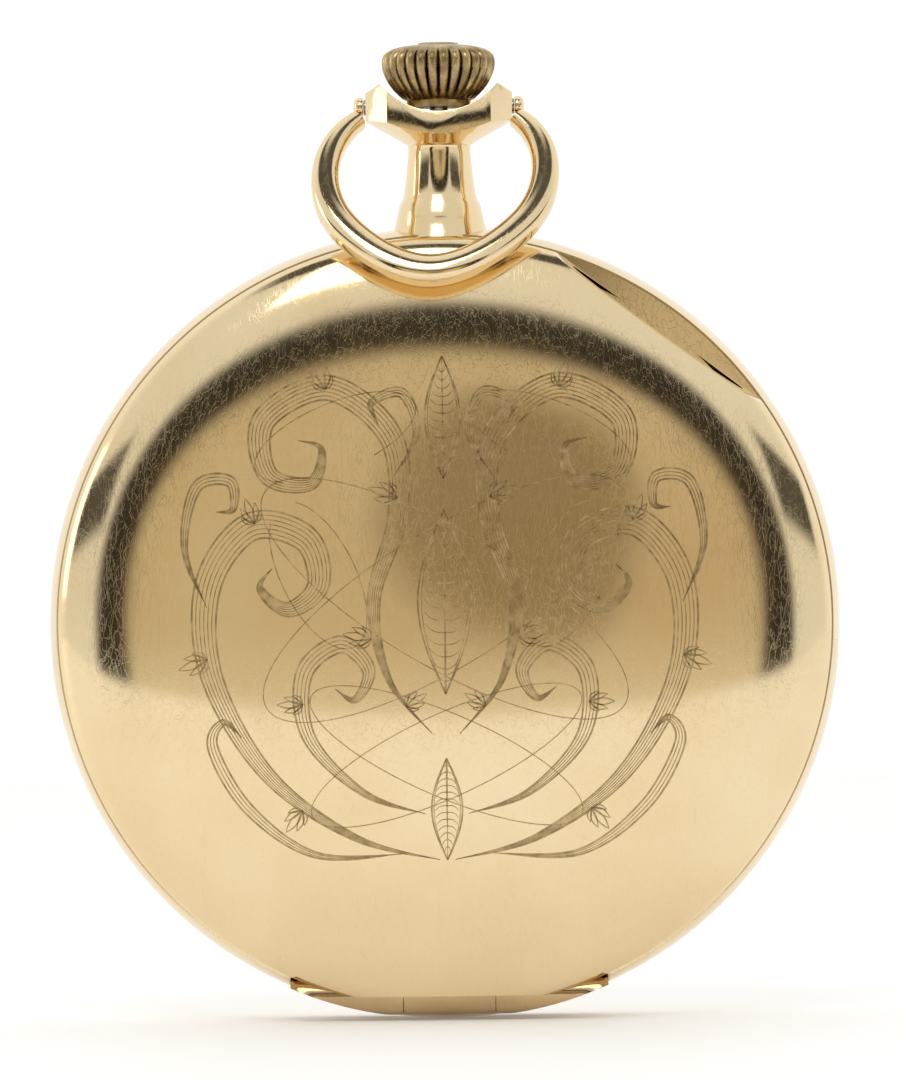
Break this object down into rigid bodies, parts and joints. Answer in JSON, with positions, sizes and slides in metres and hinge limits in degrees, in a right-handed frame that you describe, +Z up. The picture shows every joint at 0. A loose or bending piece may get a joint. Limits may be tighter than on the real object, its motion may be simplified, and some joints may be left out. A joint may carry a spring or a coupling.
{
  "type": "hunter pocket watch",
  "caption": "Hunter-cased pocket watch: engraved domed cover, hinged back and inner cover, bow, fluted crown and a jewelled lever movement.",
  "frame": {"origin": "centre of the round case, on the dial's axis and midway between the two covers' rims", "axes": "+Z up to the pendant and crown, -Y out of the front cover towards the viewer, +X to the right"},
  "size_m": [0.052, 0.0155, 0.0641],
  "materials": {
    "case_gold": "polished gold-filled, lightly scratched, engraved cover",
    "glass": "clear domed crystal",
    "steel": "fine ground steel",
    "blued_steel": "heat-blued steel",
    "enamel": "white vitreous enamel with black numerals",
    "nickel": "nickel with striped finishing",
    "brass": "gilt brass",
    "ruby": "synthetic ruby"
  },
  "bodies": {
    "case": {"case_band": "case_gold", "pendant": "case_gold", "pendant_sleeve": "steel", "hinge_pins": "steel", "bezel": "case_gold", "crystal": "glass", "case_spring_screws": "steel", "bow_screws": "steel", "dial": "enamel", "seconds_subdial": "enamel", "main_plate": "brass", "barrel_bridge": "nickel", "train_bridge": "nickel", "pallet_cock": "nickel", "balance_cock": "nickel", "click_spring": "steel", "hairspring": "blued_steel", "jewels": "ruby", "plate_screws": "blued_steel", "case_screws": "blued_steel"},
    "front_cover": {"front_lid": "case_gold"},
    "back_cover": {"back_lid": "case_gold"},
    "inner_cover": {"cuvette": "case_gold"},
    "bow": {"bow": "case_gold"},
    "lock_catch": {"lock_spring": "steel"},
    "lift_catch": {"lift_spring": "steel"},
    "winding_arbor": {"winding_arbor": "steel"},
    "crown": {"crown": "case_gold", "winding_stem": "steel"},
    "winding_pinion": {"winding_pinion": "steel"},
    "clutch": {"clutch_wheel": "steel"},
    "setting_lever": {"setting_lever": "steel"},
    "clutch_lever": {"clutch_lever": "steel"},
    "setting_wheel": {"setting_wheel": "steel"},
    "transmission": {"transmission_wheel": "steel", "crown_wheel": "steel"},
    "ratchet": {"barrel_arbor": "steel", "ratchet_wheel": "steel", "ratchet_screw": "blued_steel"},
    "barrel": {"barrel": "brass", "barrel_cover": "brass", "mainspring": "steel"},
    "click": {"click": "steel"},
    "centre": {"center_wheel": "brass"},
    "third": {"third_wheel": "brass"},
    "seconds": {"fourth_wheel": "brass", "second_hand": "blued_steel"},
    "escape": {"escape_wheel": "steel"},
    "pallet": {"pallet_fork": "steel", "pallet_stones": "ruby"},
    "balance": {"balance_wheel": "case_gold", "balance_screws": "case_gold", "balance_staff": "steel", "roller": "steel"},
    "regulator": {"regulator": "steel"},
    "minute": {"cannon_pinion": "steel", "minute_hand": "blued_steel"},
    "minute_wheel": {"minute_wheel": "brass"},
    "hour": {"hour_wheel": "brass", "hour_hand": "blued_steel"}
  },
  "joints": [
    {"name": "front_cover_hinge", "type": "hinge", "parent": "case", "child": "front_cover", "pos_m": [0, -0.00255, -0.0244], "axis": [1, 0, 0], "range_deg": [0, 90]},
    {"name": "back_cover_hinge", "type": "hinge", "parent": "case", "child": "back_cover", "pos_m": [0, 0.00255, -0.0244], "axis": [-1, 0, 0], "range_deg": [0, 90]},
    {"name": "inner_cover_hinge", "type": "hinge", "parent": "case", "child": "inner_cover", "pos_m": [0, 0.00345, -0.0229], "axis": [-1, 0, 0], "range_deg": [0, 70]},
    {"name": "bow_swing", "type": "hinge", "parent": "case", "child": "bow", "pos_m": [0, 0, 0.0339], "axis": [-1, 0, 0], "range_deg": [0, 294]},
    {"name": "lock_spring_flex", "type": "hinge", "parent": "case", "child": "lock_catch", "pos_m": [0.0117, -0.0019, 0.02026], "axis": [0, -1, 0], "range_deg": [0, 0.8], "stiffness_Nm_per_rad": 0.02},
    {"name": "lift_spring_flex", "type": "hinge", "parent": "case", "child": "lift_catch", "pos_m": [-0.02225, -0.0019, -0.00723], "axis": [0, 1, 0], "range_deg": [0, 0.8], "stiffness_Nm_per_rad": 0.02},
    {"name": "crown_turn", "type": "hinge", "parent": "case", "child": "winding_arbor", "pos_m": [0, 0, 0.015], "axis": [0, 0, 1], "continuous": true},
    {"name": "crown_pull", "type": "slide", "parent": "winding_arbor", "child": "crown", "axis": [0, 0, 1], "range_m": [-0.0004, 0.001]},
    {"name": "winding_pinion_turn", "type": "hinge", "parent": "case", "child": "winding_pinion", "pos_m": [0, 0, 0.015], "axis": [0, 0, 1], "continuous": true},
    {"name": "clutch_slide", "type": "slide", "parent": "winding_arbor", "child": "clutch", "axis": [0, 0, 1], "range_m": [-0.0006, 0.0003]},
    {"name": "setting_lever_turn", "type": "hinge", "parent": "case", "child": "setting_lever", "pos_m": [0.0041, -0.0011, 0.0174], "axis": [0, 1, 0], "range_deg": [-15, 20]},
    {"name": "clutch_lever_turn", "type": "hinge", "parent": "case", "child": "clutch_lever", "pos_m": [0.0066, -0.0011, 0.0106], "axis": [0, 1, 0], "range_deg": [-4, 8]},
    {"name": "setting_wheel_turn", "type": "hinge", "parent": "case", "child": "setting_wheel", "pos_m": [0, -0.0009, 0.0086], "axis": [0, 1, 0], "continuous": true},
    {"name": "crown_wheel_turn", "type": "hinge", "parent": "case", "child": "transmission", "pos_m": [0, 0.002, 0.0122], "axis": [0, 1, 0], "continuous": true},
    {"name": "ratchet_turn", "type": "hinge", "parent": "case", "child": "ratchet", "pos_m": [-0.00758, 0.002, 0.00636], "axis": [0, 1, 0], "continuous": true},
    {"name": "barrel_turn", "type": "hinge", "parent": "case", "child": "barrel", "pos_m": [-0.00758, 0.001, 0.00636], "axis": [0, 1, 0], "continuous": true},
    {"name": "click_turn", "type": "hinge", "parent": "case", "child": "click", "pos_m": [-0.01454, 0.004, 0.00889], "axis": [0, 1, 0], "range_deg": [0, 12], "stiffness_Nm_per_rad": 0.0005},
    {"name": "centre_wheel_turn", "type": "hinge", "parent": "case", "child": "centre", "pos_m": [0, 0, 0], "axis": [0, 1, 0], "continuous": true},
    {"name": "third_wheel_turn", "type": "hinge", "parent": "case", "child": "third", "pos_m": [0.00565, 0, 0.00322], "axis": [0, 1, 0], "continuous": true},
    {"name": "seconds_turn", "type": "hinge", "parent": "case", "child": "seconds", "pos_m": [0.0104, 0, 0], "axis": [0, 1, 0], "continuous": true},
    {"name": "escape_wheel_turn", "type": "hinge", "parent": "case", "child": "escape", "pos_m": [0.00948, 0, -0.0052], "axis": [0, 1, 0], "continuous": true},
    {"name": "pallet_fork_swing", "type": "hinge", "parent": "case", "child": "pallet", "pos_m": [0.00658, 0, -0.00788], "axis": [0, 1, 0], "range_deg": [-5, 5]},
    {"name": "balance_swing", "type": "hinge", "parent": "case", "child": "balance", "pos_m": [0.003, 0, -0.0112], "axis": [0, 1, 0], "range_deg": [-270, 270], "stiffness_Nm_per_rad": 0.000005},
    {"name": "regulator_turn", "type": "hinge", "parent": "case", "child": "regulator", "pos_m": [0.003, 0.0047, -0.0112], "axis": [0, 1, 0], "range_deg": [-12, 12]},
    {"name": "minute_hand_turn", "type": "hinge", "parent": "case", "child": "minute", "pos_m": [0, 0, 0], "axis": [0, 1, 0], "continuous": true},
    {"name": "minute_wheel_turn", "type": "hinge", "parent": "case", "child": "minute_wheel", "pos_m": [0, -0.0008, 0.0036], "axis": [0, 1, 0], "continuous": true},
    {"name": "hour_hand_turn", "type": "hinge", "parent": "case", "child": "hour", "pos_m": [0, 0, 0], "axis": [0, 1, 0], "continuous": true}
  ],
  "couplings": [
    {"joint": "bow_swing", "follows": "front_cover_hinge", "ratio": 3.2667},
    {"joint": "inner_cover_hinge", "follows": "back_cover_hinge", "ratio": 0.77778},
    {"joint": "winding_pinion_turn", "follows": "crown_turn", "ratio": 1},
    {"joint": "crown_wheel_turn", "follows": "crown_turn", "ratio": -0.31818},
    {"joint": "ratchet_turn", "follows": "crown_turn", "ratio": 0.21919},
    {"joint": "clutch_slide", "follows": "crown_pull", "ratio": -0.3},
    {"joint": "setting_lever_turn", "follows": "crown_pull", "rad_per_m": 300},
    {"joint": "clutch_lever_turn", "follows": "crown_pull", "rad_per_m": 100},
    {"joint": "third_wheel_turn", "follows": "seconds_turn", "ratio": -0.13333},
    {"joint": "centre_wheel_turn", "follows": "seconds_turn", "ratio": 0.016667},
    {"joint": "barrel_turn", "follows": "seconds_turn", "ratio": -0.0025641},
    {"joint": "escape_wheel_turn", "follows": "seconds_turn", "ratio": -10},
    {"joint": "minute_hand_turn", "follows": "seconds_turn", "ratio": 0.016667},
    {"joint": "minute_wheel_turn", "follows": "seconds_turn", "ratio": -0.0055556},
    {"joint": "setting_wheel_turn", "follows": "seconds_turn", "ratio": 0.0064516},
    {"joint": "hour_hand_turn", "follows": "seconds_turn", "ratio": 0.0013889}
  ]
}
